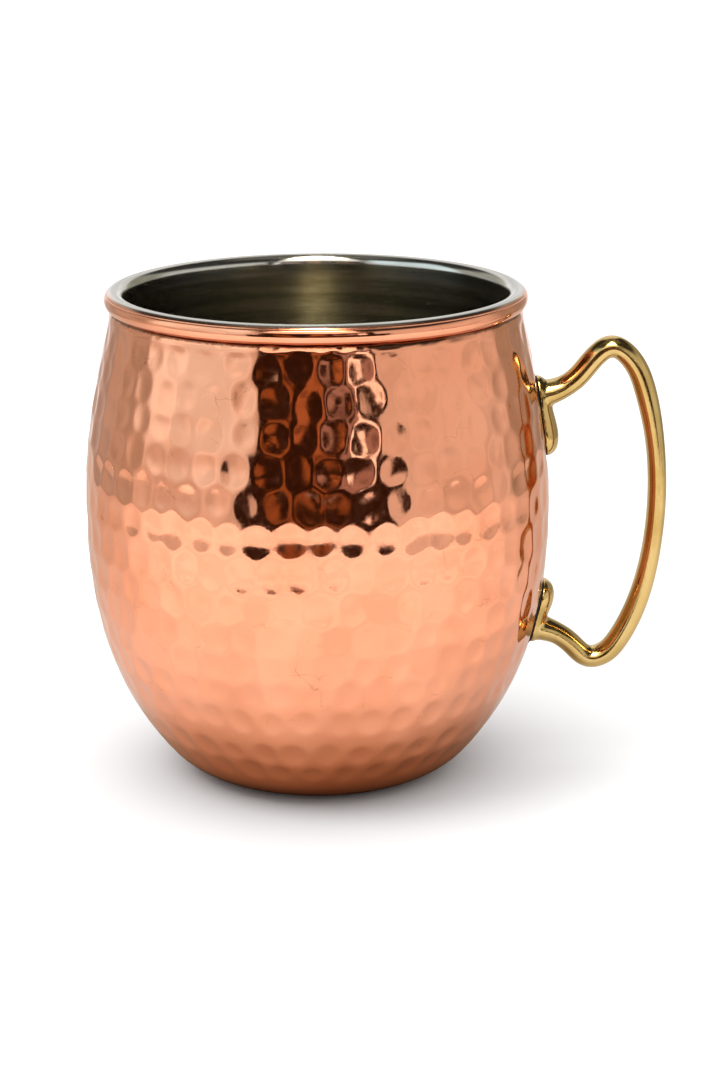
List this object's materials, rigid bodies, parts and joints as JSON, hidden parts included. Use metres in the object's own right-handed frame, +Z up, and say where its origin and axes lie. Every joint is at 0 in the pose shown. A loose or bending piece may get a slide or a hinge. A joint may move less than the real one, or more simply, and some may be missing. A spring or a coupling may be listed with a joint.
{
  "type": "copper mug",
  "caption": "Barrel-shaped hammered copper mug with a rolled rim, a smooth steel liner and a cast brass loop handle on two drop-shaped feet.",
  "frame": {"origin": "centre of the flat base, on the axis of the cup", "axes": "+Z up along the cup's axis, +X towards the handle, +Y to the left of someone who looks from the handle to the cup"},
  "size_m": [0.1192, 0.0948, 0.1007],
  "materials": {
    "hammered_copper": "hammered, polished and lacquered copper",
    "brushed_liner": "spun and finely brushed around the axis, bead polished",
    "cast_brass": "polished, with a satin grain on the outer face",
    "gasket": "matt black",
    "fixings": "plain turned steel"
  },
  "bodies": {
    "root": {"copper_shell": "hammered_copper", "steel_liner": "brushed_liner", "brass_handle": "cast_brass", "handle_gasket_upper": "gasket", "handle_gasket_lower": "gasket", "backing_washer_upper": "fixings", "backing_washer_lower": "fixings", "handle_screw_upper": "fixings", "handle_screw_lower": "fixings"}
  },
  "joints": []
}
